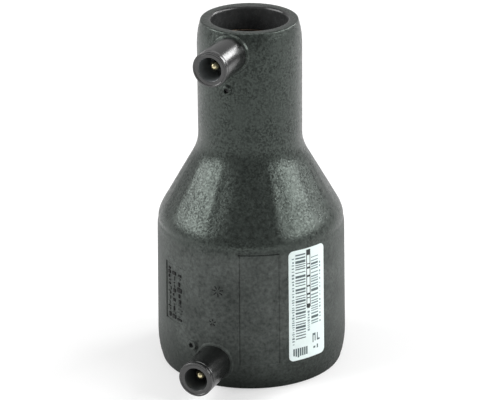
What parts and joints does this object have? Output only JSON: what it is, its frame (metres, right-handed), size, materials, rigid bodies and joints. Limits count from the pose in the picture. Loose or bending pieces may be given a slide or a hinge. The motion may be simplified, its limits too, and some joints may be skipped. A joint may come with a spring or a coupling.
{
  "type": "electrofusion reducer",
  "caption": "Polyethylene electrofusion reducer: a large and a small pipe socket joined by a cone, with a heating wire in the walls and shrouded terminals.",
  "frame": {"origin": "centre of the large mouth, on the face that the reducer stands on", "axes": "+Z along the common axis of both sockets, from the large mouth to the small one"},
  "size_m": [0.082, 0.0992, 0.1543],
  "materials": {
    "black_polyethylene": "fine moulded grain with a soft sheen",
    "resistance_wire": "drawn copper alloy wire",
    "shroud_polymer": "smooth turned black plastic",
    "terminal_brass": "turned brass",
    "indicator_polymer": "moulded black plastic",
    "label_film": "white printed film"
  },
  "bodies": {
    "root": {"reducer_body": "black_polyethylene", "heating_wire": "resistance_wire", "large_terminal_shroud": "shroud_polymer", "small_terminal_shroud": "shroud_polymer", "large_terminal_pin": "terminal_brass", "small_terminal_pin": "terminal_brass", "large_fusion_indicator": "indicator_polymer", "small_fusion_indicator": "indicator_polymer", "data_label": "label_film"}
  },
  "joints": []
}
